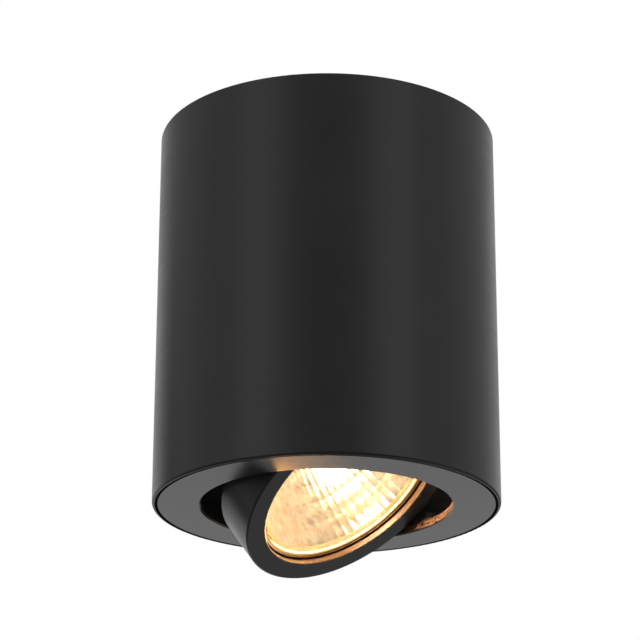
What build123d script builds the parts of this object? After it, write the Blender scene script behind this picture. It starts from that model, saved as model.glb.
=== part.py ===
from build123d import *
import math
import os

# Surface-mounted ceiling spotlight. The origin is the middle of the ceiling face, +Z is up and
# the tube hangs below it. The photographed pose, with the lamp ring tilted, is the rest pose.
# All sizes are millimetres and degrees.

# Lamp with a two-pin twist-lock base
lamp_rim_d = 50.0
lamp_rim_depth = 4.2
lamp_rim_wall = 0.8
lamp_neck_step = 1.4
lamp_length = 46.5
bowl_mouth_wall = 0.8
bowl_depth = 28.5
bowl_opening_r = 6.8
bowl_back_r = 12.2
bowl_swell = 1.1
neck_wall = 2.8
facet_columns = 60
facet_rows = 7
glass_thickness = 1.8
glass_setback = 0.3
capsule_d = 9.2
capsule_wall = 0.9
capsule_gap = 2.3
capsule_seat = 2.4
coil_d = 1.8
coil_length = 8.0
coil_leg_d = 0.7
coil_leg_gap = 2.1
base_r = 11.6
base_collar = 4.4
base_edge = 1.0
pin_spacing = 10.0
pin_neck_d = 3.0
pin_neck_length = 3.3
pin_head_d = 5.0
pin_head_length = 3.0
pin_root = 4.0

# Tilting ring
rest_tilt = 37.0
aim_azimuth = -32.0
pivot_height = 13.2
ring_inset = 0.4
ring_length = 13.5
ring_wall = 5.5
ring_skirt_wall = 3.5
lip_thickness = 2.0
lamp_recess = 2.6
ear_r = 5.5
edge_break = 0.4
bore_edge = 0.2

# Wire ring that keeps the lamp in
wire_d = 0.8
wire_gap_angle = 28.0
wire_tail = 2.6
wire_corner_r = 1.6
groove_depth = 0.5

# Pivots
shoulder_d = 4.0
thread_d = 3.0
pivot_head_d = 7.0
pivot_head_height = 2.0
plain_washer_thickness = 0.8
disc_spring_height = 1.0
disc_spring_thickness = 0.4
fibre_washer_thickness = 1.0
washer_d = 9.0
bracket_thickness = 1.5
bracket_leg_width = 12.0
bracket_foot_length = 26.0
bracket_foot_width = 6.0
foot_corner_r = 2.5
foot_screw_spacing = 19.0
foot_screw_head_d = 5.2
foot_screw_head_height = 1.7
foot_screw_bite = 1.5

# Tube and trim plate
tube_height = 102.0
tube_wall = 1.5
rim_lip = 0.7
tube_rim_round = 0.6
hole_gap = 1.5
plate_rim_width = 11.0
plate_thickness = 2.5
plate_recess = 0.05
shadow_gap = 0.7
shadow_depth = 0.9
hole_bevel = 0.5
spigot_height = 10.0
spigot_wall = 1.8
spigot_edge = 0.35

# Ceiling strap and the screws that carry the tube
strap_thickness = 1.5
strap_width = 22.0
strap_end_width = 12.0
strap_shoulder = 4.6
strap_tab_height = 14.0
slot_spacing = 60.0
slot_width = 4.2
slot_length = 12.0
side_screw_drop = 8.0
side_screw_length = 7.5
side_screw_head_d = 5.6
side_screw_sink = 0.1
hex_key = 2.0
hex_depth = 1.1
bush_bore_d = 8.0
bush_wall = 2.0
bush_flange = 1.5
bush_flange_thickness = 1.2
bush_tail = 1.2
earth_offset = 14.0
earth_thread_d = 4.0
earth_head_d = 8.0
earth_head_height = 2.4
earth_washer_d = 9.0
earth_washer_thickness = 1.0

# Terminal block
block_gap = 0.6
block_width = 15.0
block_length = 19.0
block_height = 11.0
block_round = 1.0
pole_spacing = 10.0
pole_depth = 5.8
sleeve_d = 4.4
sleeve_bore_d = 2.8
sleeve_length = 12.0
clamp_spacing = 7.0
clamp_d = 2.5
clamp_head_d = 3.6
clamp_head_height = 1.6
chimney_wall = 1.2
chimney_height = 2.0
block_screw_d = 3.0
block_screw_head_d = 5.0
block_screw_head_height = 1.8

# Socket
socket_width = 19.0
socket_length = 30.0
socket_height = 14.5
socket_face = 3.0
cover_thickness = 2.5
socket_edge = 0.6
twist_angle = 40.0
contact_thickness = 0.4
contact_width = 3.0
contact_span = 4.0
rivet_d = 3.0
rivet_head_d = 5.2
rivet_head_height = 1.2
rivet_spacing = 23.0
rivet_bite = 6.0

# Leads
lead_d = 2.0
lead_hole_spacing = 12.0
lead_straight = 6.5
lead_bite = 2.0

# Clearances, and how far a cut runs past the face that it opens
press_gap = 0.02
screw_gap = 0.03
shaft_gap = 0.05
face_gap = 0.05
seat_gap = 0.15
loose_gap = 0.3
lamp_gap = 0.5
pin_head_gap = 0.4
wall_gap = 0.6
slot_drive_width = 0.9
slot_drive_depth = 0.8
overcut = 1.0

# How near to a size an edge lies to be the one that is meant
edge_match = 0.01

# Radii of the lamp, ring, plate and tube, worked from the lamp outwards
lamp_r = lamp_rim_d / 2
lamp_neck_r = lamp_r - lamp_neck_step
lamp_bore_r = lamp_r + lamp_gap
groove_r = lamp_bore_r + groove_depth
ring_r = lamp_bore_r + ring_wall
skirt_r = ring_r - ring_skirt_wall
hole_r = ring_r + hole_gap
tube_inner_r = hole_r + plate_rim_width
tube_r = tube_inner_r + tube_wall
seat_r = tube_r - rim_lip
plate_r = seat_r - press_gap
spigot_r = tube_inner_r - press_gap
spigot_inner_r = spigot_r - spigot_wall

# Levels in the ceiling frame
tube_bottom = -tube_height
plate_bottom = tube_bottom + plate_recess
plate_top = plate_bottom + plate_thickness
pivot_level = tube_bottom + pivot_height

# Levels in the ring's own frame: its origin is the pivot, +Z runs from the front to the back
ring_front = ring_inset - pivot_height
ring_back = ring_front + ring_length
lamp_front = ring_front + lamp_recess
lip_front = lamp_front + lamp_rim_depth + seat_gap
lip_back = lip_front + lip_thickness
lip_r = lamp_neck_r + lamp_gap
wire_level = lamp_front - face_gap - wire_d / 2
wire_r = lamp_bore_r - 0.25 * wire_d
groove_front = wire_level - wire_d / 2 - 2 * face_gap
groove_back = wire_level + wire_d / 2 + 2 * face_gap
ear_face = math.sqrt(ring_r ** 2 - ear_r ** 2)
plate_top_from_pivot = plate_top - pivot_level

# Lamp levels in the ring's frame
glass_back = lamp_front + glass_setback + glass_thickness
bowl_mouth = glass_back + face_gap
bowl_mouth_r = lamp_neck_r - bowl_mouth_wall
bowl_vertex = bowl_mouth + bowl_depth
bowl_end = bowl_vertex - bowl_depth * (bowl_opening_r / bowl_mouth_r) ** 2
base_end = lamp_front + lamp_length
base_top = bowl_end + 2 * seat_gap
collar_r = bowl_back_r - neck_wall
neck_end = base_top + base_collar
pin_end = base_end + pin_neck_length + pin_head_length
capsule_tip = glass_back + capsule_gap
capsule_shoulder = capsule_tip + capsule_d / 2

# Socket levels in the ring's frame
socket_front = base_end + loose_gap
socket_back = socket_front + socket_height
cover_back = socket_back + cover_thickness

# Washer stack from the ring's ear out to the bracket
plain_washer_face = ear_face + face_gap
disc_spring_face = plain_washer_face + plain_washer_thickness
fibre_washer_face = disc_spring_face + disc_spring_height
leg_face = fibre_washer_face + fibre_washer_thickness + face_gap
leg_back = leg_face + bracket_thickness
foot_middle = leg_face + bracket_foot_width / 2

# Strap and terminal block places
strap_reach = tube_inner_r - wall_gap
strap_underside = -strap_thickness
bush_r = bush_bore_d / 2 + bush_wall
block_start = bush_r + bush_flange + block_gap
block_middle = block_start + block_width / 2
block_bottom = strap_underside - block_height
pole_level = strap_underside - pole_depth

# Where the pivot axis and the tilted ring stand in the ceiling frame
pivot_place = Pos(0, 0, pivot_level) * Rot(0, 0, aim_azimuth)
ring_place = pivot_place * Rot(0, -rest_tilt, 0)


def turned(*points):
    """Solid turned about Z from (radius, height) points."""
    return revolve(Plane.XZ * make_face(Polyline(*points, close=True)), Axis.Z)


def disc(radius, low, high):
    """Cylinder about Z between two heights."""
    return Pos(0, 0, (low + high) / 2) * Cylinder(radius, high - low)


def tube(outer, inner, low, high):
    """Hollow cylinder about Z between two heights."""
    return turned((inner, low), (outer, low), (outer, high), (inner, high))


def along_y(shape):
    """Turn a shape made about +Z so that its axis is +Y."""
    return Rot(-90, 0, 0) * shape


def along_x(shape):
    """Turn a shape made about +Z so that its axis is +X."""
    return Rot(0, 90, 0) * shape


def both_sides(shape):
    """A shape and its half-turn copy about Z."""
    return [shape, Rot(0, 0, 180) * shape]


def screw_slot(length, face):
    """Driver slot cut into a screw head whose face is at the given height."""
    return Pos(0, 0, face) * Box(length, slot_drive_width, 2 * slot_drive_depth)


def outer_tube():
    """Brushed tube with a rounded lower rim, a seat for the plate and two countersunk side holes."""
    rim = min(tube_rim_round, 0.9 * rim_lip)
    body = tube(tube_r, tube_inner_r, tube_bottom, 0)
    lower = body.edges().filter_by(GeomType.CIRCLE).filter_by(lambda e: abs(e.radius - tube_r) < edge_match)
    body = fillet(lower.sort_by(Axis.Z)[0], rim)
    body -= disc(seat_r, tube_bottom - overcut, plate_top + face_gap)
    gap = screw_gap + face_gap
    sink = disc(side_screw_head_d / 2 + gap, tube_r - side_screw_sink, tube_r + overcut)
    hole = along_x(countersunk(gap) + sink)
    for cut in both_sides(Pos(0, 0, -side_screw_drop) * hole):
        body -= cut
    return body


def countersunk(grow):
    """Countersunk screw shape about Z, grown all round for its hole."""
    face = tube_r - side_screw_sink
    head_r = side_screw_head_d / 2 + grow
    shank_r = thread_d / 2 + grow
    return turned(
        (0, face - side_screw_length),
        (shank_r, face - side_screw_length),
        (shank_r, face - (head_r - shank_r)),
        (head_r, face),
        (0, face),
    )


def side_screws():
    """Flush screws through the tube into the strap's tabs, with hexagon sockets."""
    key = RegularPolygon(hex_key / 2, 6, major_radius=False)
    screw = countersunk(0) - extrude(Plane.XY.offset(tube_r - side_screw_sink) * key, -hex_depth)
    return both_sides(Pos(0, 0, -side_screw_drop) * along_x(screw))


def trim_plate():
    """Flat ring plate with a shadow groove round its face and a spigot that presses into the tube."""
    spigot_top = plate_bottom + spigot_height
    groove_bottom = plate_bottom + min(shadow_depth, 0.5 * plate_thickness)
    body = turned(
        (hole_r + edge_break, plate_bottom),
        (plate_r - shadow_gap, plate_bottom),
        (plate_r - shadow_gap, groove_bottom),
        (plate_r, groove_bottom),
        (plate_r, plate_top),
        (spigot_r, plate_top),
        (spigot_r, spigot_top - spigot_edge),
        (spigot_r - spigot_edge, spigot_top),
        (spigot_inner_r, spigot_top),
        (spigot_inner_r, plate_top),
        (hole_r + hole_bevel, plate_top),
        (hole_r, plate_top - hole_bevel),
        (hole_r, plate_bottom + edge_break),
    )
    for place in foot_screw_places():
        bite = foot_screw_bite + 2 * face_gap
        body -= place * disc(thread_d / 2 + screw_gap, -bite, 0)
    return body


def foot_screw_places():
    """Places of the bracket foot screws on the top of the plate."""
    on_plate = Pos(0, 0, plate_top) * Rot(0, 0, aim_azimuth)
    places = []
    for turn in (0, 180):
        for side in (-0.5, 0.5):
            places.append(on_plate * Rot(0, 0, turn) * Pos(side * foot_screw_spacing, foot_middle, 0))
    return places


def pivot_bracket(turn):
    """Bent steel bracket: a foot on the plate and a leg with the pivot hole."""
    floor = plate_top_from_pivot
    half = bracket_leg_width / 2
    leg_outline = Circle(half) + Pos(0, floor / 2) * Rectangle(bracket_leg_width, -floor)
    leg = extrude(Plane.XZ.offset(-leg_back) * leg_outline, bracket_thickness)
    foot_outline = RectangleRounded(bracket_foot_length, bracket_foot_width, foot_corner_r)
    foot = Pos(0, foot_middle, floor) * extrude(foot_outline, bracket_thickness)
    heel = Pos(0, (leg_face + foot_middle) / 2) * Rectangle(bracket_leg_width, bracket_foot_width / 2)
    foot += Pos(0, 0, floor) * extrude(heel, bracket_thickness)
    body = leg + foot
    body -= along_y(disc(shoulder_d / 2 + shaft_gap, leg_face - overcut, leg_back + overcut))
    for side in (-0.5, 0.5):
        hole = disc(thread_d / 2 + screw_gap, -overcut, bracket_thickness + overcut)
        body -= Pos(side * foot_screw_spacing, foot_middle, floor) * hole
    return pivot_place * Rot(0, 0, turn) * body


def foot_screws():
    """Slotted screws that hold both brackets to the plate."""
    head_low = bracket_thickness + face_gap
    head_high = head_low + foot_screw_head_height
    head = disc(foot_screw_head_d / 2, head_low, head_high)
    head = fillet(head.edges().sort_by(Axis.Z)[-1], 0.3 * foot_screw_head_height)
    screw = head + disc(thread_d / 2, -foot_screw_bite, head_low)
    screw -= screw_slot(foot_screw_head_d + overcut, head_high)
    return [place * screw for place in foot_screw_places()]


def tilt_ring():
    """Turned ring with a lamp seat, a wire groove and two pivot ears."""
    body = turned(
        (lamp_bore_r + bore_edge, ring_front),
        (ring_r - edge_break, ring_front),
        (ring_r, ring_front + edge_break),
        (ring_r, ring_back - edge_break),
        (ring_r - edge_break, ring_back),
        (skirt_r, ring_back),
        (skirt_r, lip_back),
        (lip_r, lip_back),
        (lip_r, lip_front),
        (lamp_bore_r, lip_front),
        (lamp_bore_r, groove_back),
        (groove_r, groove_back),
        (groove_r, groove_front),
        (lamp_bore_r, groove_front),
        (lamp_bore_r, ring_front + bore_edge),
    )
    ear_outline = Circle(ear_r) + Pos(0, lip_back / 2) * Rectangle(2 * ear_r, -lip_back)
    ear = extrude(Plane.XZ.offset(-ear_face) * ear_outline, ear_face - skirt_r)
    flat = along_y(disc(ear_r - edge_break, ear_face, ring_r + overcut))
    bore = along_y(disc(thread_d / 2 + screw_gap, skirt_r - overcut, ring_r + overcut))
    for piece in both_sides(ear):
        body += piece
    for cut in both_sides(flat) + both_sides(bore):
        body -= cut
    return ring_place * body


def pivot_screws():
    """Shoulder screws: the thread holds in the ear and the shoulder turns in the bracket."""
    head_low = leg_back + 2 * face_gap
    head_high = head_low + pivot_head_height
    screw = turned(
        (0, skirt_r + face_gap),
        (thread_d / 2, skirt_r + face_gap),
        (thread_d / 2, ear_face + face_gap),
        (shoulder_d / 2, ear_face + face_gap),
        (shoulder_d / 2, head_low),
        (pivot_head_d / 2, head_low),
        (pivot_head_d / 2, head_high - edge_break),
        (pivot_head_d / 2 - edge_break, head_high),
        (0, head_high),
    )
    screw -= screw_slot(pivot_head_d + overcut, head_high)
    return [ring_place * piece for piece in both_sides(along_y(screw))]


def washer(face, thickness):
    """A flat washer on each pivot, from the given distance outwards."""
    ring = tube(washer_d / 2, shoulder_d / 2 + shaft_gap, face, face + thickness - face_gap)
    return [ring_place * piece for piece in both_sides(along_y(ring))]


def disc_springs():
    """Coned spring washers that press the pivots together."""
    low = disc_spring_face
    high = low + disc_spring_height - face_gap
    inner = shoulder_d / 2 + shaft_gap
    cone = turned(
        (inner, high - disc_spring_thickness),
        (washer_d / 2, low),
        (washer_d / 2, low + disc_spring_thickness),
        (inner, high),
    )
    return [ring_place * piece for piece in both_sides(along_y(cone))]


def lamp_wire_ring():
    """Open spring wire ring in the groove, with its two ends bent inwards."""
    start = wire_gap_angle / 2
    corner_turn = 90.0
    main = CenterArc((0, 0, 0), wire_r, start, 360 - wire_gap_angle)
    line = main
    for angle, side in ((start, -1), (-start, 1)):
        out = Vector(math.cos(math.radians(angle)), math.sin(math.radians(angle)))
        across = Vector(-out.Y, out.X) * side
        middle = out * (wire_r - wire_corner_r)
        half = math.radians(corner_turn / 2)
        rim_point = middle + out * wire_corner_r
        halfway = middle + out * (wire_corner_r * math.cos(half)) + across * (wire_corner_r * math.sin(half))
        bend_end = middle + across * wire_corner_r
        line += ThreePointArc(rim_point, halfway, bend_end)
        line += Line(bend_end, bend_end - out * wire_tail)
    path = Wire(line.edges())
    section = Plane(origin=path @ 0, z_dir=path % 0) * Circle(wire_d / 2)
    return ring_place * Pos(0, 0, wire_level) * sweep(section, path)


def lamp_reflector():
    """Glass bowl: turned outside, flat mirror facets in rows and columns inside."""
    neck_low = lamp_front + lamp_rim_depth
    middle_level = (neck_low + bowl_end) / 2
    middle_r = (lamp_neck_r + bowl_back_r) / 2 + bowl_swell
    profile = Polyline(
        (lamp_neck_r, neck_low),
        (lamp_r, neck_low),
        (lamp_r, lamp_front),
        (0, lamp_front),
        (0, neck_end),
        (bowl_back_r, neck_end),
        (bowl_back_r, bowl_end),
    )
    back = ThreePointArc((bowl_back_r, bowl_end), (middle_r, middle_level), (lamp_neck_r, neck_low))
    body = revolve(Plane.XZ * make_face(profile + back), Axis.Z)
    body -= disc(lamp_r - lamp_rim_wall, lamp_front - overcut, bowl_mouth)
    body -= facets()
    body -= disc(bowl_opening_r * math.cos(math.pi / facet_columns), bowl_end - overcut, base_top + overcut)
    body -= disc(collar_r + face_gap, base_top - face_gap, neck_end + overcut)
    return ring_place * body


def facets():
    """The bowl's hollow as rows of flat panes between polygons of growing radius."""
    rings = []
    for row in range(facet_rows + 1):
        radius = bowl_opening_r + (bowl_mouth_r - bowl_opening_r) * row / facet_rows
        level = bowl_vertex - bowl_depth * (radius / bowl_mouth_r) ** 2
        rings.append(Pos(0, 0, level) * RegularPolygon(radius, facet_columns))
    return loft(rings, ruled=True)


def lamp_front_glass():
    """Flat cover glass set inside the reflector's rim."""
    radius = lamp_r - lamp_rim_wall - face_gap
    low = lamp_front + glass_setback
    body = turned(
        (0, low),
        (radius - edge_break, low),
        (radius, low + edge_break),
        (radius, glass_back),
        (0, glass_back),
    )
    return ring_place * body


def lamp_capsule():
    """Quartz capsule with a round tip, open at the back where it sits in the base."""
    outer = capsule_d / 2
    inner = outer - capsule_wall
    seat = base_top + capsule_seat
    edges = Line((0, capsule_shoulder - inner), (0, capsule_tip))
    edges += CenterArc((0, capsule_shoulder), outer, -90, 90)
    edges += Polyline((outer, capsule_shoulder), (outer, seat), (inner, seat), (inner, capsule_shoulder))
    edges += CenterArc((0, capsule_shoulder), inner, -90, 90)
    return ring_place * revolve(Plane.XZ * make_face(edges), Axis.Z)


def lamp_filament():
    """Coil body on its two support wires."""
    coil_front = capsule_shoulder
    coil_back = coil_front + coil_length
    seat = base_top + capsule_seat
    leg_r = coil_leg_d / 2
    body = disc(coil_d / 2, coil_front, coil_back)
    body += disc(leg_r, coil_back - leg_r, seat)
    body += Pos(coil_leg_gap, 0, 0) * disc(leg_r, coil_front - leg_r, seat)
    body += Pos(0, 0, coil_front) * along_x(disc(leg_r, 0, coil_leg_gap))
    return ring_place * body


def lamp_base():
    """Ceramic base: a collar in the reflector's neck, the capsule's seat and the pin holes."""
    body = turned(
        (0, base_top),
        (collar_r, base_top),
        (collar_r, neck_end + face_gap),
        (base_r, neck_end + face_gap),
        (base_r, base_end - base_edge),
        (base_r - base_edge, base_end),
        (0, base_end),
    )
    body -= disc(capsule_d / 2 + face_gap, base_top - overcut, base_top + capsule_seat + face_gap)
    pin_hole = disc(pin_neck_d / 2 + screw_gap, base_end - pin_root, base_end + overcut)
    for cut in both_sides(Pos(0, pin_spacing / 2, 0) * pin_hole):
        body -= cut
    return ring_place * body


def lamp_pins():
    """Two pins with wide heads that lock behind the socket's face."""
    head_low = base_end + pin_neck_length
    head_r = pin_head_d / 2
    pin = turned(
        (0, base_end - pin_root + face_gap),
        (pin_neck_d / 2, base_end - pin_root + face_gap),
        (pin_neck_d / 2, head_low),
        (head_r - edge_break, head_low),
        (head_r, head_low + edge_break),
        (head_r, pin_end - edge_break),
        (head_r - edge_break, pin_end),
        (0, pin_end),
    )
    return [ring_place * piece for piece in both_sides(Pos(0, pin_spacing / 2, 0) * pin)]


def sector(inner, outer, low, high, start, sweep_angle):
    """Part of a hollow cylinder about Z, from a start angle on."""
    outline = Polyline((inner, low), (outer, low), (outer, high), (inner, high), close=True)
    return Rot(0, 0, start) * revolve(Plane.XZ * make_face(outline), Axis.Z, sweep_angle)


def socket_outline():
    """Long-round outline of the socket, its length along the pivot axis."""
    return Rot(0, 0, 90) * SlotOverall(socket_length, socket_width)


def socket_body():
    """Ceramic socket with two keyhole slots and a pocket behind each."""
    body = Pos(0, 0, socket_front) * extrude(socket_outline(), socket_height)
    body = chamfer(body.edges().group_by(Axis.Z)[0], socket_edge)
    pin_r = pin_spacing / 2
    neck_r = pin_neck_d / 2 + loose_gap
    head_r = pin_head_d / 2 + pin_head_gap
    side_angle = math.degrees(math.asin(head_r / pin_r))
    face_low = socket_front - overcut
    pocket_low = socket_front + socket_face
    slot = sector(pin_r - neck_r, pin_r + neck_r, face_low, pocket_low + overcut, -twist_angle, twist_angle)
    slot += Pos(pin_r, 0, 0) * disc(neck_r, face_low, pocket_low + overcut)
    slot += Rot(0, 0, -twist_angle) * Pos(pin_r, 0, 0) * disc(head_r, face_low, pocket_low + overcut)
    start = -twist_angle - side_angle
    turn = twist_angle + 2 * side_angle
    pocket = sector(pin_r - head_r, pin_r + head_r, pocket_low, socket_back + overcut, start, turn)
    for cut in both_sides(Rot(0, 0, 90) * slot) + both_sides(Rot(0, 0, 90) * pocket):
        body -= cut
    rivet_hole = disc(rivet_d / 2 + screw_gap, socket_back - rivet_bite - seat_gap, socket_back + overcut)
    for cut in both_sides(Pos(0, rivet_spacing / 2, 0) * rivet_hole):
        body -= cut
    return ring_place * body


def socket_cover():
    """Ceramic back cover with the lead holes."""
    low = socket_back + face_gap
    body = Pos(0, 0, low) * extrude(socket_outline(), cover_thickness - face_gap)
    body = chamfer(body.edges().group_by(Axis.Z)[-1], socket_edge)
    lead_hole = disc(lead_d / 2 + loose_gap / 2, socket_back - overcut, cover_back + overcut)
    rivet_hole = disc(rivet_d / 2 + screw_gap, socket_back - overcut, cover_back + overcut)
    for cut in both_sides(Pos(0, lead_hole_spacing / 2, 0) * lead_hole):
        body -= cut
    for cut in both_sides(Pos(0, rivet_spacing / 2, 0) * rivet_hole):
        body -= cut
    return ring_place * body


def socket_contacts():
    """Bent brass springs: a foot on the cover, a riser and a blade behind the pin."""
    blade = pin_end + face_gap
    foot = socket_back - face_gap
    half = contact_span / 2
    edge = contact_thickness
    outline = Polyline(
        (-half, blade),
        (half, blade),
        (half, foot),
        (-half, foot),
        (-half, foot - edge),
        (half - edge, foot - edge),
        (half - edge, blade + edge),
        (-half, blade + edge),
        close=True,
    )
    far = pin_spacing / 2 + contact_width / 2
    strip = extrude(Plane.XZ.offset(-far) * make_face(outline), contact_width)
    return [ring_place * piece for piece in both_sides(strip)]


def socket_rivets():
    """Rivets that hold the cover on the socket."""
    head_low = cover_back + face_gap
    head_high = head_low + rivet_head_height
    head = disc(rivet_head_d / 2, head_low, head_high)
    head = fillet(head.edges().sort_by(Axis.Z)[-1], 0.6 * rivet_head_height)
    rivet = head + disc(rivet_d / 2, socket_back - rivet_bite, head_low)
    return [ring_place * piece for piece in both_sides(Pos(0, rivet_spacing / 2, 0) * rivet)]


def ceiling_strap():
    """Steel strap with two slots for the ceiling screws and a tapped tab at each end."""
    middle = 2 * (strap_reach - strap_shoulder)
    plan = RectangleRounded(middle, strap_width, strap_shoulder) + Rectangle(2 * strap_reach, strap_end_width)
    body = Pos(0, 0, strap_underside) * extrude(plan, strap_thickness)
    tab = Pos(strap_reach, 0, 0) * Box(
        strap_thickness, strap_end_width, strap_tab_height, align=(Align.MAX, Align.CENTER, Align.MAX)
    )
    for piece in both_sides(tab):
        body += piece
    across = body.edges().filter_by(Axis.Y)
    ends = across.filter_by(lambda e: abs(abs(e.center().X) - strap_reach) < edge_match)
    body = fillet(ends.filter_by(lambda e: abs(e.center().Z) < edge_match), 0.9 * strap_thickness)
    slot = extrude(SlotOverall(slot_length, slot_width), strap_thickness + overcut, both=True)
    for cut in both_sides(Pos(slot_spacing / 2, 0, 0) * slot):
        body -= cut
    low = strap_underside - overcut
    body -= disc(bush_r + face_gap, low, overcut)
    body -= Pos(-earth_offset, 0, 0) * disc(earth_thread_d / 2 + screw_gap, low, overcut)
    body -= Pos(block_middle, 0, 0) * disc(block_screw_d / 2 + screw_gap, low, overcut)
    tab_inside = strap_reach - strap_thickness
    tapped = along_x(disc(thread_d / 2 + screw_gap, tab_inside - overcut, strap_reach + overcut))
    for cut in both_sides(Pos(0, 0, -side_screw_drop) * tapped):
        body -= cut
    return body


def cable_bush():
    """Insulating bush in the strap's middle hole, where the supply cable comes in."""
    flange_top = strap_underside - face_gap
    flange_bottom = flange_top - bush_flange_thickness
    tail_bottom = flange_bottom - bush_tail
    return turned(
        (bush_bore_d / 2, tail_bottom),
        (bush_r, tail_bottom),
        (bush_r, flange_bottom),
        (bush_r + bush_flange, flange_bottom),
        (bush_r + bush_flange, flange_top),
        (bush_r, flange_top),
        (bush_r, -face_gap),
        (bush_bore_d / 2, -face_gap),
    )


def earth_washer():
    top = strap_underside - face_gap
    ring = tube(earth_washer_d / 2, earth_thread_d / 2 + screw_gap, top - earth_washer_thickness, top)
    return Pos(-earth_offset, 0, 0) * ring


def earth_screw():
    head_top = strap_underside - earth_washer_thickness - 2 * face_gap
    head_bottom = head_top - earth_head_height
    head = disc(earth_head_d / 2, head_bottom, head_top)
    head = fillet(head.edges().sort_by(Axis.Z)[0], 0.4 * earth_head_height)
    screw = head + disc(earth_thread_d / 2, head_top, -face_gap)
    screw -= Rot(180, 0, 0) * screw_slot(earth_head_d + overcut, -head_bottom)
    return Pos(-earth_offset, 0, 0) * screw


def clamp_places():
    """Places of the four clamp screws on the underside of the block."""
    places = []
    for pole in (-0.5, 0.5):
        for end in (-0.5, 0.5):
            places.append(Pos(block_middle + end * clamp_spacing, pole * pole_spacing, 0))
    return places


def terminal_block():
    """Two-pole block with a screw chimney over each clamp and a fixing hole in the middle."""
    top = strap_underside - face_gap
    size = (block_width, block_length, top - block_bottom)
    body = Pos(block_middle, 0, top) * Box(*size, align=(Align.CENTER, Align.CENTER, Align.MAX))
    body = fillet(body.edges().filter_by(Axis.Z), block_round)
    chimney_r = clamp_head_d / 2 + chimney_wall
    screw_r = clamp_head_d / 2 + loose_gap / 2
    for place in clamp_places():
        body += place * disc(chimney_r, block_bottom - chimney_height, block_bottom + overcut)
    for place in clamp_places():
        body -= place * disc(screw_r, block_bottom - chimney_height - overcut, pole_level)
    for pole in (-0.5, 0.5):
        row = Pos(block_middle, pole * pole_spacing, pole_level)
        half = sleeve_length / 2 + face_gap
        body -= row * along_x(disc(sleeve_d / 2 + face_gap, -half, half))
        body -= row * along_x(disc(sleeve_bore_d / 2, -block_width, block_width))
    body -= Pos(block_middle, 0, 0) * disc(block_screw_d / 2 + screw_gap, block_bottom - overcut, 0)
    return body


def terminal_sleeves():
    """Brass sleeves that join the supply and the leads, tapped for the clamp screws."""
    sleeve = along_x(tube(sleeve_d / 2, sleeve_bore_d / 2, -sleeve_length / 2, sleeve_length / 2))
    pieces = []
    for pole in (-0.5, 0.5):
        body = Pos(block_middle, pole * pole_spacing, pole_level) * sleeve
        for place in clamp_places():
            body -= place * disc(clamp_d / 2 + screw_gap, pole_level - sleeve_d, pole_level)
        pieces.append(body)
    return pieces


def clamp_screws():
    """Slotted screws that press on the wires in the sleeves."""
    head_top = pole_level - sleeve_d / 2 - face_gap
    head_bottom = head_top - clamp_head_height
    tip = pole_level - lead_d / 2 - face_gap
    screw = disc(clamp_head_d / 2, head_bottom, head_top) + disc(clamp_d / 2, head_top, tip)
    screw -= Rot(180, 0, 0) * screw_slot(clamp_head_d + overcut, -head_bottom)
    return [place * screw for place in clamp_places()]


def block_screw():
    """Screw that holds the terminal block to the strap."""
    head_top = block_bottom - face_gap
    head_bottom = head_top - block_screw_head_height
    head = disc(block_screw_head_d / 2, head_bottom, head_top)
    head = fillet(head.edges().sort_by(Axis.Z)[0], 0.3 * block_screw_head_height)
    screw = head + disc(block_screw_d / 2, head_top, -face_gap)
    screw -= Rot(180, 0, 0) * screw_slot(block_screw_head_d + overcut, -head_bottom)
    return Pos(block_middle, 0, 0) * screw


def lead(side, route):
    """Insulated lead from the terminal block to the socket, with slack for the tilt.

    The hand-chosen route lies between the block's pole and the socket's back.
    """
    pole = Vector(block_middle + sleeve_length / 2 - lead_bite, side * pole_spacing / 2, pole_level)
    hole = Pos(0, side * lead_hole_spacing / 2, 0)
    inner = (ring_place * hole * Pos(0, 0, socket_back + face_gap)).position
    outer = (ring_place * hole * Pos(0, 0, cover_back + lead_straight)).position
    points = [pole] + [Vector(*point) for point in route] + [outer, inner]
    radii = []
    for before, here, after in zip(points, points[1:], points[2:]):
        turn = (here - before).get_angle(after - here)
        run = min((here - before).length, (after - here).length)
        radii.append(0.45 * run / math.tan(math.radians(turn / 2)))
    print("lead bend radii", [round(radius, 1) for radius in radii])
    path = FilletPolyline(*points, radius=radii)
    section = Plane(origin=path @ 0, z_dir=path % 0) * Circle(lead_d / 2)
    body = sweep(section, path)
    print("lead volume over section times length", body.volume / (math.pi * lead_d ** 2 / 4 * path.length))
    return body


# Routes of the leads, chosen by hand in the ceiling frame: out of the block, round below it and
# across the housing to the back of the socket
live_route = [
    (29.0, 5.6, -7.0),
    (36.0, 8.5, -11.5),
    (36.5, 13.5, -19.0),
    (28.0, 20.5, -23.5),
    (13.0, 26.5, -24.5),
    (-3.0, 30.0, -24.0),
    (-19.5, 29.5, -26.0),
]
neutral_route = [
    (29.0, -5.6, -7.0),
    (36.0, -8.0, -11.5),
    (36.0, -10.0, -19.5),
    (27.0, -11.5, -24.0),
    (11.0, -10.5, -25.5),
    (-5.0, -6.0, -26.0),
    (-19.0, 0.5, -26.5),
    (-30.0, 11.5, -28.0),
]

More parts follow.
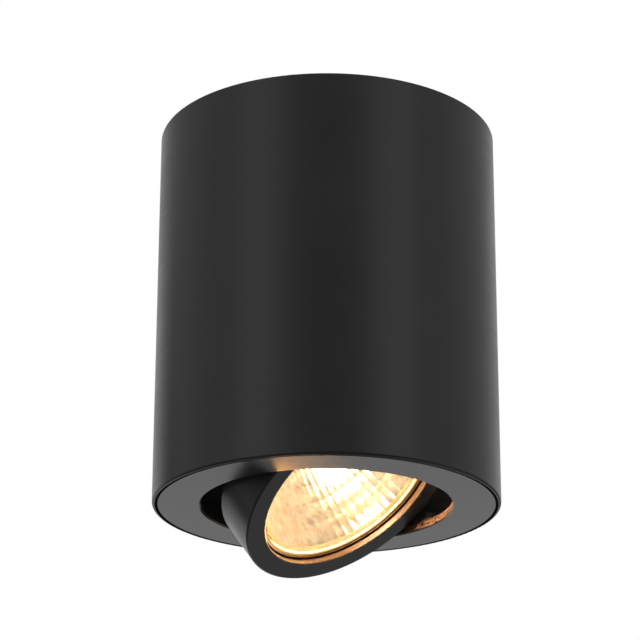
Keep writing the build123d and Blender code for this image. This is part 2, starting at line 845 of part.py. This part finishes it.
nodes = {
    "outer_tube": outer_tube(),
    "side_screws": side_screws(),
    "trim_plate": trim_plate(),
    "pivot_bracket_back": pivot_bracket(0),
    "pivot_bracket_front": pivot_bracket(180),
    "bracket_foot_screws": foot_screws(),
    "tilt_ring": tilt_ring(),
    "pivot_screws": pivot_screws(),
    "plain_washers": washer(plain_washer_face, plain_washer_thickness),
    "disc_springs": disc_springs(),
    "fibre_washers": washer(fibre_washer_face, fibre_washer_thickness),
    "lamp_wire_ring": lamp_wire_ring(),
    "lamp_reflector": lamp_reflector(),
    "lamp_front_glass": lamp_front_glass(),
    "lamp_capsule": lamp_capsule(),
    "lamp_filament": lamp_filament(),
    "lamp_base": lamp_base(),
    "lamp_pins": lamp_pins(),
    "socket_body": socket_body(),
    "socket_cover": socket_cover(),
    "socket_contacts": socket_contacts(),
    "socket_rivets": socket_rivets(),
    "ceiling_strap": ceiling_strap(),
    "cable_bush": cable_bush(),
    "earth_washer": earth_washer(),
    "earth_screw": earth_screw(),
    "terminal_block": terminal_block(),
    "terminal_sleeves": terminal_sleeves(),
    "clamp_screws": clamp_screws(),
    "block_screw": block_screw(),
    "live_lead": lead(1, live_route),
    "neutral_lead": lead(-1, neutral_route),
}

os.makedirs("parts", exist_ok=True)
for name, shape in nodes.items():
    if isinstance(shape, list):
        shape = Compound(children=[piece.solid() for piece in shape])
    export_step(shape, f"parts/{name}.step")
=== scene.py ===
import bmesh
import bpy
import math
from mathutils import Euler, Matrix, Vector


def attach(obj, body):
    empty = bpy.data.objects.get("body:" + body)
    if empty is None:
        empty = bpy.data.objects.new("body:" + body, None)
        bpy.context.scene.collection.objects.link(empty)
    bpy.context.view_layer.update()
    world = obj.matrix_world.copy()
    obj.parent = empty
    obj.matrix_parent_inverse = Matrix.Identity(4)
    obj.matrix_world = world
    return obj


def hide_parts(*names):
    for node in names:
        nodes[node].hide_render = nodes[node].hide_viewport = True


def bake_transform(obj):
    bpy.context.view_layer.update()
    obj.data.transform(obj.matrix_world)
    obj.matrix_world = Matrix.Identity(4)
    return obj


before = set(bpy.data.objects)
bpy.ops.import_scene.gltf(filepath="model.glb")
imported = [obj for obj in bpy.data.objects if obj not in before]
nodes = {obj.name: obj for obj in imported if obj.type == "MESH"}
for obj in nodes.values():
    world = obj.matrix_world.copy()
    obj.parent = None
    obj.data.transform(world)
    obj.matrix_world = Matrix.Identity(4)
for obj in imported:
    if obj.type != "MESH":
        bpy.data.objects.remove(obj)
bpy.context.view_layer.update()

MM = 0.001

# The head's own frame at rest: its pivot, and its axes turned as the lamp aims.
PIVOT = Vector((0.0, 0.0, -88.8)) * MM
HEAD_TURN = Euler((0.0, math.radians(-37.0), math.radians(-32.0)))
HEAD_PLACE = Matrix.Translation(PIVOT) @ HEAD_TURN.to_matrix().to_4x4()

# Where the finish changes on the tube, the plate and the ring, in millimetres.
TUBE_INNER_R = 43.5
PLATE_FACE_R = 43.5
PLATE_TOP = -99.45
HOLE_R = 32.5
BORE_R = 25.5
WALL_MARGIN = 0.05
TOP_FADE = 0.1

# The lamp's bowl and front glass in the head's frame: sizes in millimetres, and the numbers of panes.
LAMP_FRONT = -10.2
RIM_R = 25.0
RIM_INNER_R = 24.2
RIM_BACK = -6.0
NECK_R = 23.6
MOUTH_R = 22.8
THROAT_R = 6.8
BOWL_DEPTH = 28.5
BOWL_VERTEX = 20.45
BOWL_SWELL = 1.1
SWELL_STEPS = 5
BACK_R = 12.2
COLLAR_R = 9.45
BASE_TOP = 18.165
NECK_END = 22.615
FACET_COLUMNS = 60
FACET_ROWS = 7
PANE_BULGE = 0.22
MERGE_DISTANCE = 0.001
CREASE = math.radians(30.0)
GLASS_FRONT = -9.9
GLASS_MIDDLE = -9.0

LEAD_R = 1.0

# The camera's lens and place in millimetres, and its angles in degrees.
LENS = 142.70
SENSOR = 36.0
EYE_PLACE = (0.0, -628.43, -289.27)
EYE_TURN = 0.166
EYE_CLIMB = 90.0 + 20.814
EYE_LEAN = 0.163

# The softboxes and the floor, in metres and watts, and the levels of the world's light.
SOFTBOX_SIZE = (0.5, 0.9)
SOFTBOX_WATTS = 0.6
SOFTBOX_PLACES = {"left_softbox": (-0.75, -0.75, 0.15), "right_softbox": (0.75, -0.75, 0.15)}
SOFTBOX_AIM = Vector((0.0, 0.0, -0.05))
FLOOR_LEVEL = -1.2
FLOOR_R = 2.4
FLOOR_FADE = (1.3, 1.9)
EVEN_LIGHT = 0.55
BACKDROP_LIGHT = 0.62
WHITE = 1.0

# Settings that several finishes share: steps up and down, the middle of the noise, and the lathe's lines.
RISE, FALL = (0.0, 1.0), (1.0, 0.0)
NOISE_BAND = (0.3, 0.7)
CUTS_PER_METRE = 2600.0

# The kinds of a group's sockets, and where a Mix node has its first value, its second value and its result.
VECTOR, NUMBER, COLOR = "NodeSocketVector", "NodeSocketFloat", "NodeSocketColor"
MIX_PLACES = {"FLOAT": (2, 3, 0), "RGBA": (6, 7, 2)}


def ramp(tree, value, source, target, interpolation="SMOOTHSTEP"):
    """A step: the value runs from the first to the second number of source, the result of target."""
    node = tree.nodes.new("ShaderNodeMapRange")
    node.interpolation_type = interpolation
    node.inputs["From Min"].default_value, node.inputs["From Max"].default_value = source
    node.inputs["To Min"].default_value, node.inputs["To Max"].default_value = target
    tree.links.new(value, node.inputs["Value"])
    return node.outputs[0]


def combine(tree, operation, first, second):
    node = tree.nodes.new("ShaderNodeMath")
    node.operation = operation
    tree.links.new(first, node.inputs[0])
    tree.links.new(second, node.inputs[1])
    return node.outputs[0]


def product(tree, *values):
    result = values[0]
    for value in values[1:]:
        result = combine(tree, "MULTIPLY", result, value)
    return result


def mix(tree, factor, first, second, kind="FLOAT"):
    """Go from the first to the second value, each of them a plain value or another node's output."""
    node = tree.nodes.new("ShaderNodeMix")
    node.data_type = kind
    first_place, second_place, result_place = MIX_PLACES[kind]
    tree.links.new(factor, node.inputs["Factor"])
    for place, value in ((first_place, first), (second_place, second)):
        if isinstance(value, bpy.types.NodeSocket):
            tree.links.new(value, node.inputs[place])
        else:
            node.inputs[place].default_value = value
    return node.outputs[result_place]


def axes(tree, vector):
    node = tree.nodes.new("ShaderNodeSeparateXYZ")
    tree.links.new(vector, node.inputs[0])
    return node.outputs


def flat_vector(tree, x, y):
    node = tree.nodes.new("ShaderNodeCombineXYZ")
    tree.links.new(x, node.inputs["X"])
    tree.links.new(y, node.inputs["Y"])
    return node.outputs[0]


def length(tree, vector):
    node = tree.nodes.new("ShaderNodeVectorMath")
    node.operation = "LENGTH"
    tree.links.new(vector, node.inputs[0])
    return node.outputs["Value"]


def soft_noise(tree, where, scale, detail, roughness):
    node = tree.nodes.new("ShaderNodeTexNoise")
    node.inputs["Detail"].default_value = detail
    node.inputs["Roughness"].default_value = roughness
    tree.links.new(where, node.inputs["Vector"])
    tree.links.new(scale, node.inputs["Scale"])
    return ramp(tree, node.outputs["Fac"], NOISE_BAND, RISE, "LINEAR")


def set_camera():
    lens = bpy.data.cameras.new("photo_view")
    lens.sensor_width = SENSOR
    lens.lens = LENS
    lens.clip_start = 10.0 * MM
    eye = bpy.data.objects.new("photo_view", lens)
    eye.location = Vector(EYE_PLACE) * MM
    turn, climb, lean = (math.radians(angle) for angle in (EYE_TURN, EYE_CLIMB, EYE_LEAN))
    eye.rotation_euler = (Matrix.Rotation(turn, 3, "Z") @ Matrix.Rotation(climb, 3, "X")
                          @ Matrix.Rotation(lean, 3, "Z")).to_euler()
    bpy.context.scene.collection.objects.link(eye)
    bpy.context.scene.camera = eye


def set_surroundings():
    """White for the camera, even light on dull surfaces, and for gloss a room of brighter and darker parts.

    The room is white behind, dim in front and darker below the horizon, with a dark flag at the left and
    a low one at the right.
    """
    world = bpy.data.worlds.new("studio")
    world.use_nodes = True
    bpy.context.scene.world = world
    tree = world.node_tree
    way = tree.nodes.new("ShaderNodeTexCoord")
    side, back, up = axes(tree, way.outputs["Generated"])

    white_behind = ramp(tree, back, (0.55, 0.95), (0.47, 0.85))
    dim_in_front = ramp(tree, back, (-0.945, -0.80), (0.42, 1.0))
    room_above = product(tree, white_behind, dim_in_front)
    far_side = ramp(tree, back, (0.1, 0.7), RISE)
    not_straight_down = ramp(tree, up, (-0.9, -0.3), RISE)
    backdrop = product(tree, far_side, not_straight_down)
    near_ground = ramp(tree, back, (-0.2, 0.3), (0.04, 0.16))
    room_below = mix(tree, backdrop, near_ground, BACKDROP_LIGHT)
    horizon = ramp(tree, up, (-0.05, 0.15), RISE)
    room = mix(tree, horizon, room_below, room_above)

    left_flag = product(
        tree, ramp(tree, side, (-0.5, -0.3), FALL), ramp(tree, up, (0.33, 0.38), FALL),
        ramp(tree, back, (0.36, 0.50), RISE), ramp(tree, back, (0.60, 0.72), FALL))
    low_flag = product(
        tree, ramp(tree, side, (0.22, 0.36), RISE), ramp(tree, up, (-0.47, -0.38), RISE),
        ramp(tree, up, (-0.12, -0.02), FALL), ramp(tree, back, (0.3, 0.5), RISE))
    beside_flags = product(
        tree, ramp(tree, left_flag, RISE, (1.0, 0.1)), ramp(tree, low_flag, RISE, (1.0, 0.05)))

    ray = tree.nodes.new("ShaderNodeLightPath")
    light = mix(tree, ray.outputs["Is Glossy Ray"], EVEN_LIGHT, product(tree, room, beside_flags))
    seen = combine(tree, "MAXIMUM", ray.outputs["Is Camera Ray"], ray.outputs["Is Transmission Ray"])
    background = tree.nodes["Background"]
    background.inputs["Color"].default_value = (1.0, 1.0, 1.0, 1.0)
    tree.links.new(mix(tree, seen, light, WHITE), background.inputs["Strength"])


def set_softboxes():
    for name, place in SOFTBOX_PLACES.items():
        light = bpy.data.lights.new(name, "AREA")
        light.shape = "RECTANGLE"
        light.size, light.size_y = SOFTBOX_SIZE
        light.energy = SOFTBOX_WATTS
        box = bpy.data.objects.new(name, light)
        box.location = Vector(place)
        aim = SOFTBOX_AIM - box.location
        box.rotation_euler = aim.to_track_quat("-Z", "Y").to_euler()
        bpy.context.scene.collection.objects.link(box)


def lay_floor():
    """A pale round floor far below, which fades to plain white for the camera towards its edge."""
    shape = bmesh.new()
    bmesh.ops.create_circle(shape, cap_ends=True, segments=96, radius=FLOOR_R)
    bmesh.ops.translate(shape, verts=shape.verts, vec=(0.0, 0.0, FLOOR_LEVEL))
    mesh = bpy.data.meshes.new("studio_floor")
    shape.to_mesh(mesh)
    shape.free()
    floor = bpy.data.objects.new("studio_floor", mesh)
    bpy.context.scene.collection.objects.link(floor)
    pale = bpy.data.materials.new("floor_white")
    pale.use_nodes = True
    tree = pale.node_tree
    n, link = tree.nodes, tree.links.new
    paint = n["Principled BSDF"]
    paint.inputs["Base Color"].default_value = (0.82, 0.82, 0.82, 1.0)
    paint.inputs["Roughness"].default_value = 0.9
    paint.inputs["Specular IOR Level"].default_value = 0.1
    away = length(tree, n.new("ShaderNodeTexCoord").outputs["Object"])
    fade = ramp(tree, away, FLOOR_FADE, RISE, "LINEAR")
    ray = n.new("ShaderNodeLightPath")
    white = n.new("ShaderNodeEmission")
    both = n.new("ShaderNodeMixShader")
    link(product(tree, ray.outputs["Is Camera Ray"], fade), both.inputs[0])
    link(paint.outputs[0], both.inputs[1])
    link(white.outputs[0], both.inputs[2])
    link(both.outputs[0], n["Material Output"].inputs["Surface"])
    mesh.materials.append(pale)
    floor.visible_glossy = False


def group_with(name, inputs, outputs):
    """A new node group, with what it is given and what it puts out."""
    tree = bpy.data.node_groups.new(name, "ShaderNodeTree")
    for label, kind in inputs:
        tree.interface.new_socket(name=label, in_out="INPUT", socket_type=kind)
    for label, kind in outputs:
        tree.interface.new_socket(name=label, in_out="OUTPUT", socket_type=kind)
    return tree, tree.nodes.new("NodeGroupInput").outputs, tree.nodes.new("NodeGroupOutput").inputs


def cloudy_finish():
    """A surface that drifts softly between two tones and two roughnesses."""
    tree, given, result = group_with(
        "cloudy_finish",
        [("Vector", VECTOR), ("Scale", NUMBER), ("Tone A", COLOR), ("Tone B", COLOR), ("Rough A", NUMBER),
         ("Rough B", NUMBER)],
        [("Color", COLOR), ("Roughness", NUMBER), ("Cloud", NUMBER)])
    link = tree.links.new
    cloud = soft_noise(tree, given["Vector"], given["Scale"], detail=5.0, roughness=0.6)
    link(mix(tree, cloud, given["Tone A"], given["Tone B"], "RGBA"), result["Color"])
    link(mix(tree, cloud, given["Rough A"], given["Rough B"]), result["Roughness"])
    link(cloud, result["Cloud"])
    return tree


def lathe_lines():
    """Fine rings round the Z axis, as a lathe leaves them, and a mask of what lies within a bore."""
    tree, given, result = group_with(
        "lathe_lines",
        [("Vector", VECTOR), ("Per Metre", NUMBER), ("Bore", NUMBER)],
        [("Lines", NUMBER), ("In Bore", NUMBER)])
    link = tree.links.new
    x, y, z = axes(tree, given["Vector"])
    out = length(tree, flat_vector(tree, x, y))
    section = flat_vector(tree, out, z)
    link(soft_noise(tree, section, given["Per Metre"], detail=2.0, roughness=0.5), result["Lines"])
    link(combine(tree, "LESS_THAN", out, given["Bore"]), result["In Bore"])
    return tree


CLOUDY = cloudy_finish()
LATHE = lathe_lines()


class Finish:
    """A material whose colour and roughness come from the cloudy finish."""

    def __init__(self, name, scale, tones, roughness, on_head=False):
        self.material = bpy.data.materials.new(name)
        self.material.use_nodes = True
        self.tree = self.material.node_tree
        self.nodes, self.link = self.tree.nodes, self.tree.links.new
        self.shader = self.nodes["Principled BSDF"]
        self.where = self.nodes.new("ShaderNodeTexCoord").outputs["Object"]
        if on_head:
            turn = self.nodes.new("ShaderNodeMapping")
            turn.vector_type = "TEXTURE"
            turn.inputs["Location"].default_value = PIVOT
            turn.inputs["Rotation"].default_value = HEAD_TURN
            self.link(self.where, turn.inputs["Vector"])
            self.where = turn.outputs[0]
        base = self.clouds(scale, tones, roughness)
        self.cloud = base["Cloud"]
        self.show(base["Color"], base["Roughness"])

    def show(self, color, roughness):
        self.color, self.roughness = color, roughness
        self.link(color, self.shader.inputs["Base Color"])
        self.link(roughness, self.shader.inputs["Roughness"])

    def place(self, group, where=None, **values):
        node = self.nodes.new("ShaderNodeGroup")
        node.node_tree = group
        self.link(where or self.where, node.inputs["Vector"])
        for socket, value in values.items():
            node.inputs[socket.replace("_", " ")].default_value = value
        return node.outputs

    def clouds(self, scale, tones, roughness):
        return self.place(CLOUDY, Scale=scale, Tone_A=(*tones[0], 1.0), Tone_B=(*tones[1], 1.0),
                          Rough_A=roughness[0], Rough_B=roughness[1])

    def inside(self, radius):
        """A mask of what is nearer to the axis than a radius in millimetres."""
        return self.place(LATHE, Bore=radius * MM)["In Bore"]

    def by_height(self, heights, shares):
        """A mask that goes softly from the first share to the second between two heights in millimetres."""
        height = axes(self.tree, self.where)["Z"]
        return ramp(self.tree, height, [limit * MM for limit in heights], shares)

    def set(self, **values):
        for socket, value in values.items():
            self.shader.inputs[socket.replace("_", " ")].default_value = value

    def glow(self, strength):
        """Give light in the finish's own colours."""
        self.set(Emission_Strength=strength)
        self.link(self.color, self.shader.inputs["Emission Color"])

    def bump(self, height, depth):
        """Raise the surface by up to a depth in millimetres."""
        node = self.nodes.new("ShaderNodeBump")
        node.inputs["Distance"].default_value = depth * MM
        node.inputs["Strength"].default_value = 1.0
        self.link(height, node.inputs["Height"])
        self.link(node.outputs[0], self.shader.inputs["Normal"])

    def stretched(self, stretch):
        node = self.nodes.new("ShaderNodeVectorMath")
        node.operation = "MULTIPLY"
        node.inputs[1].default_value = stretch
        self.link(self.where, node.inputs[0])
        return node.outputs[0]

    def add_to_roughness(self, mask, amount):
        node = self.nodes.new("ShaderNodeMath")
        node.operation = "MULTIPLY_ADD"
        node.inputs[1].default_value = amount
        self.link(mask, node.inputs[0])
        self.link(self.roughness, node.inputs[2])
        self.show(self.color, node.outputs[0])

    def overlay(self, mask, scale, tones, roughness):
        """Show another cloudy finish, with its own tones and roughness, where the mask is 1."""
        other = self.clouds(scale, tones, roughness)
        self.show(mix(self.tree, mask, self.color, other["Color"], "RGBA"),
                  mix(self.tree, mask, self.roughness, other["Roughness"]))

    def onto(self, *names):
        for name in names:
            nodes[name].material_slots[0].material = self.material


def finish_tube():
    """Brushed black outside, and a dull lighter black inside, where the lightness is painted light for the
    dim hollow.
    """
    tube = Finish("brushed_black_tube", 45.0, ((0.010, 0.010, 0.0105), (0.015, 0.0148, 0.0145)), (0.28, 0.34))
    brush = tube.place(CLOUDY, tube.stretched((40.0, 40.0, 3600.0)), Scale=1.0)["Cloud"]
    tube.add_to_roughness(brush, 0.06)
    tube.bump(brush, 0.004)
    # Painted light: the inside's lighter tones stand in for light reaching into the hollow.
    tube.overlay(tube.inside(TUBE_INNER_R + WALL_MARGIN),
                 70.0, ((0.062, 0.063, 0.065), (0.085, 0.086, 0.088)), (0.5, 0.62))
    tube.onto("outer_tube")


def finish_plate():
    """A dull groove darkened as painted shade round a satin face, a dull collar above lightened as painted
    light, and speckled copper painted light on the hole's wall.
    """
    # The base tones, darker than the face, are painted shade in the groove round it.
    plate = Finish("satin_black_plate", 60.0, ((0.003, 0.003, 0.003), (0.005, 0.005, 0.005)), (0.85, 0.95))
    plate.overlay(plate.inside(PLATE_FACE_R),
                  60.0, ((0.012, 0.012, 0.0125), (0.017, 0.017, 0.017)), (0.19, 0.22))
    # Painted light: the collar's lighter tones stand in for light reaching the dim inside.
    plate.overlay(plate.by_height((PLATE_TOP - TOP_FADE, PLATE_TOP), RISE),
                  70.0, ((0.052, 0.053, 0.055), (0.072, 0.073, 0.075)), (0.5, 0.62))
    # Painted light: the copper tones and specks on the black hole wall stand in for the lamp's warm light.
    plate.overlay(plate.inside(HOLE_R + WALL_MARGIN),
                  900.0, ((0.005, 0.0024, 0.0014), (0.056, 0.026, 0.016)), (0.25, 0.4))
    plate.bump(plate.place(LATHE, Per_Metre=CUTS_PER_METRE)["Lines"], 0.004)
    plate.onto("trim_plate")


def finish_ring():
    """Satin black, with bare metal in the bore."""
    ring = Finish("satin_black_ring", 80.0, ((0.012, 0.012, 0.012), (0.018, 0.0178, 0.0175)), (0.26, 0.33),
                  on_head=True)
    in_bore = ring.inside(BORE_R + WALL_MARGIN)
    ring.overlay(in_bore, 700.0, ((0.017, 0.0125, 0.0105), (0.040, 0.030, 0.025)), (0.3, 0.4))
    ring.link(in_bore, ring.shader.inputs["Metallic"])
    ring.bump(ring.place(LATHE, Per_Metre=CUTS_PER_METRE)["Lines"], 0.006)
    ring.onto("tilt_ring")


def metal(name, scale, tones, roughness, *pieces, metallic=1.0, on_head=False):
    finish = Finish(name, scale, tones, roughness, on_head)
    finish.set(Metallic=metallic)
    finish.onto(*pieces)
    return finish


def finish_metal_pieces():
    metal("blackened_steel", 300.0, ((0.04, 0.04, 0.041), (0.075, 0.075, 0.077)), (0.4, 0.55),
          "side_screws", "bracket_foot_screws", "pivot_bracket_back", "pivot_bracket_front", metallic=0.6)
    # Painted light: the wire ring's brown tones stand in for the lamp's warm light on dark steel.
    metal("painted_warm_wire", 500.0, ((0.022, 0.012, 0.0065), (0.048, 0.028, 0.0155)), (0.25, 0.38),
          "lamp_wire_ring", on_head=True)
    zinc = metal("zinc_plated_strap", 220.0, ((0.52, 0.54, 0.56), (0.68, 0.67, 0.62)), (0.28, 0.42),
                 "ceiling_strap")
    zinc.bump(zinc.cloud, 0.02)
    metal("bright_screw_steel", 500.0, ((0.6, 0.6, 0.59), (0.74, 0.73, 0.7)), (0.2, 0.34),
          "pivot_screws", "plain_washers", "clamp_screws", "block_screw", "socket_rivets")
    metal("dark_spring_steel", 500.0, ((0.26, 0.25, 0.25), (0.42, 0.40, 0.38)), (0.24, 0.36),
          "disc_springs")
    metal("dull_brass", 350.0, ((0.72, 0.5, 0.2), (0.86, 0.66, 0.32)), (0.24, 0.4),
          "earth_screw", "earth_washer", "terminal_sleeves", "socket_contacts")
    metal("nickel_pin", 500.0, ((0.62, 0.6, 0.55), (0.76, 0.73, 0.68)), (0.2, 0.32),
          "lamp_pins")


def finish_other_pieces():
    fibre = Finish("red_fibre", 900.0, ((0.22, 0.045, 0.03), (0.38, 0.09, 0.055)), (0.7, 0.85))
    fibre.bump(fibre.cloud, 0.04)
    fibre.onto("fibre_washers")

    ceramic = Finish("fired_ceramic", 420.0, ((0.74, 0.71, 0.64), (0.86, 0.84, 0.78)), (0.5, 0.66))
    ceramic.bump(ceramic.cloud, 0.03)
    ceramic.onto("socket_body", "socket_cover", "lamp_base")

    nylon = Finish("white_nylon", 260.0, ((0.78, 0.78, 0.74), (0.87, 0.87, 0.84)), (0.36, 0.5))
    nylon.bump(nylon.cloud, 0.01)
    nylon.onto("terminal_block", "cable_bush")


def turned(shape, finish, *points):
    """Turn a line of (radius, height) points, in millimetres, once round the lamp's axis."""
    before = set(shape.faces)
    corners = [shape.verts.new((radius * MM, 0.0, height * MM)) for radius, height in points]
    line = [shape.edges.new(pair) for pair in zip(corners, corners[1:])]
    bmesh.ops.spin(shape, geom=corners + line, axis=(0.0, 0.0, 1.0), cent=(0.0, 0.0, 0.0), angle=math.tau,
                   steps=FACET_COLUMNS, use_merge=True)
    for face in set(shape.faces) - before:
        face.material_index = finish


def shape_reflector():
    """Lamp bowl: smooth outside with a rim, and inside rows of small mirror panes that each bulge."""
    panes, rim, back = range(3)
    rows = []
    for row in range(FACET_ROWS + 1):
        radius = THROAT_R + (MOUTH_R - THROAT_R) * row / FACET_ROWS
        rows.append((radius, BOWL_VERTEX - BOWL_DEPTH * (radius / MOUTH_R) ** 2))
    throat, mouth = rows[0], rows[-1]
    neck, heel = Vector((NECK_R, RIM_BACK)), Vector((BACK_R, throat[1]))
    pull = (neck + heel) / 2 + Vector((2.0 * BOWL_SWELL, 0.0))
    shares = [step / SWELL_STEPS for step in range(SWELL_STEPS + 1)]
    swell = [neck.lerp(pull, share).lerp(pull.lerp(heel, share), share) for share in shares]
    shape = bmesh.new()
    turned(shape, panes, *rows)
    turned(shape, rim, mouth, (RIM_INNER_R, mouth[1]), (RIM_INNER_R, LAMP_FRONT), (RIM_R, LAMP_FRONT),
           (RIM_R, RIM_BACK), (NECK_R, RIM_BACK))
    turned(shape, back, *swell, (BACK_R, NECK_END), (COLLAR_R, NECK_END), (COLLAR_R, BASE_TOP),
           (THROAT_R, BASE_TOP), throat)
    bmesh.ops.remove_doubles(shape, verts=shape.verts, dist=MERGE_DISTANCE * MM)
    bmesh.ops.recalc_face_normals(shape, faces=shape.faces)
    for edge in shape.edges:
        pane_edge = any(face.material_index == panes for face in edge.link_faces)
        edge.smooth = not pane_edge and edge.calc_face_angle() < CREASE
    bmesh.ops.poke(shape, faces=[face for face in shape.faces if face.material_index == panes],
                   offset=PANE_BULGE * MM)
    for face in shape.faces:
        face.smooth = True
    bmesh.ops.transform(shape, matrix=HEAD_PLACE, verts=shape.verts)
    mesh = bpy.data.meshes.new("reflector_bowl")
    shape.to_mesh(mesh)
    shape.free()
    bowl = bpy.data.objects.new("reflector_bowl", mesh)
    bpy.context.scene.collection.objects.link(bowl)
    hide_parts("lamp_reflector")
    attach(bowl, "lamp")
    return mesh


def throw_light(glass, color, strength):
    """Let the front of the glass light the pieces round it, while it stays clear to the camera."""
    tree = glass.tree
    on_front = glass.by_height((GLASS_FRONT, GLASS_MIDDLE), FALL)
    ray = glass.nodes.new("ShaderNodeLightPath")
    unseen = ramp(tree, ray.outputs["Is Camera Ray"], RISE, FALL)
    side = glass.nodes.new("ShaderNodeNewGeometry")
    outwards = ramp(tree, side.outputs["Backfacing"], RISE, FALL)
    thrown = mix(tree, product(tree, on_front, unseen, outwards), (0.0, 0.0, 0.0, 1.0), color, "RGBA")
    glass.link(thrown, glass.shader.inputs["Emission Color"])
    glass.set(Emission_Strength=strength)


def finish_lamp():
    bowl = shape_reflector()
    mirror = Finish("facet_mirror", 420.0, ((0.76, 0.57, 0.36), (1.0, 0.85, 0.60)), (0.05, 0.15),
                    on_head=True)
    mirror.set(Metallic=1.0)
    # Painted light: the panes glow faintly, standing in for the capsule's light reflected round the bowl.
    mirror.glow(0.33)
    # Painted light: the rim's orange tones and glow stand in for light leaking through the glass edge.
    rim = Finish("warm_glass_rim", 300.0, ((0.80, 0.46, 0.17), (0.95, 0.64, 0.30)), (0.08, 0.18),
                 on_head=True)
    rim.glow(0.35)
    coat = Finish("coated_bowl_back", 90.0, ((0.56, 0.57, 0.60), (0.66, 0.66, 0.68)), (0.24, 0.30),
                  on_head=True)
    coat.set(Metallic=0.8)
    for finish in (mirror, rim, coat):
        bowl.materials.append(finish.material)

    glass = Finish("front_glass", 120.0, ((0.98, 0.98, 0.97), (1.0, 1.0, 1.0)), (0.0, 0.02), on_head=True)
    glass.set(Transmission_Weight=1.0, IOR=1.5)
    throw_light(glass, (1.0, 0.50, 0.16, 1.0), 18.0)
    glass.onto("lamp_front_glass")
    nodes["lamp_front_glass"].visible_shadow = False

    quartz = Finish("glowing_quartz", 200.0, ((1.0, 0.80, 0.52), (1.0, 0.88, 0.66)), (0.1, 0.2), on_head=True)
    quartz.glow(300.0)
    quartz.onto("lamp_capsule")

    coil = Finish("white_hot_coil", 300.0, ((1.0, 0.78, 0.5), (1.0, 0.9, 0.7)), (0.4, 0.5), on_head=True)
    coil.glow(120.0)
    coil.onto("lamp_filament")


def lead(name, node, route, sleeve):
    """A round sleeve along a route of points in millimetres, in the place of the plain lead."""
    line = bpy.data.curves.new(name, "CURVE")
    line.dimensions = "3D"
    line.bevel_depth = LEAD_R * MM
    line.bevel_resolution = 5
    line.resolution_u = 14
    line.use_fill_caps = True
    run = line.splines.new("NURBS")
    run.points.add(len(route) - 1)
    for point, place in zip(run.points, route):
        point.co = (*(Vector(place) * MM), 1.0)
    run.order_u = 3
    run.use_endpoint_u = True
    drawn = bpy.data.objects.new(name + "_line", line)
    mesh = bpy.data.meshes.new_from_object(drawn)
    bpy.data.objects.remove(drawn)
    mesh.name = name
    mesh.materials.clear()
    mesh.materials.append(sleeve.material)
    piece = bpy.data.objects.new(name, mesh)
    bpy.context.scene.collection.objects.link(piece)
    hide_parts(node)
    return piece


def in_head(x, y, z):
    """A point of the head's own frame, in the part's frame, both in millimetres."""
    return tuple(HEAD_PLACE @ (Vector((x, y, z)) * MM) / MM)


def run_leads():
    brown = Finish("brown_sleeve", 400.0, ((0.16, 0.062, 0.024), (0.23, 0.10, 0.045)), (0.38, 0.5))
    live = lead("live_lead_sleeve", "live_lead", [
        (19.6, 5.0, -7.3), (29.0, 5.6, -7.0), (36.0, 8.5, -11.5), (36.5, 13.5, -19.0), (28.0, 20.5, -23.5),
        (13.0, 26.5, -24.5), (-3.0, 30.0, -24.0), (-19.5, 29.5, -26.0), in_head(0.0, 6.0, 60.1),
        in_head(0.0, 6.0, 51.15)], brown)
    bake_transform(live)

    blue = Finish("blue_sleeve", 400.0, ((0.035, 0.12, 0.40), (0.06, 0.19, 0.54)), (0.38, 0.5))
    neutral = lead("neutral_lead_sleeve", "neutral_lead", [
        (19.6, -5.0, -7.3), (29.0, -5.6, -7.0), (36.0, -8.0, -11.5), (36.0, -10.0, -19.5),
        (27.0, -11.5, -24.0), (11.0, -10.5, -25.5), (-5.0, -6.0, -26.0), (-19.0, 0.5, -26.5),
        (-30.0, 11.5, -28.0), in_head(0.0, -6.0, 60.1), in_head(0.0, -6.0, 51.15)], blue)
    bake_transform(neutral)


set_camera()
set_surroundings()
set_softboxes()
lay_floor()
finish_tube()
finish_plate()
finish_ring()
finish_metal_pieces()
finish_other_pieces()
finish_lamp()
run_leads()

bpy.context.scene.view_settings.view_transform = "Standard"
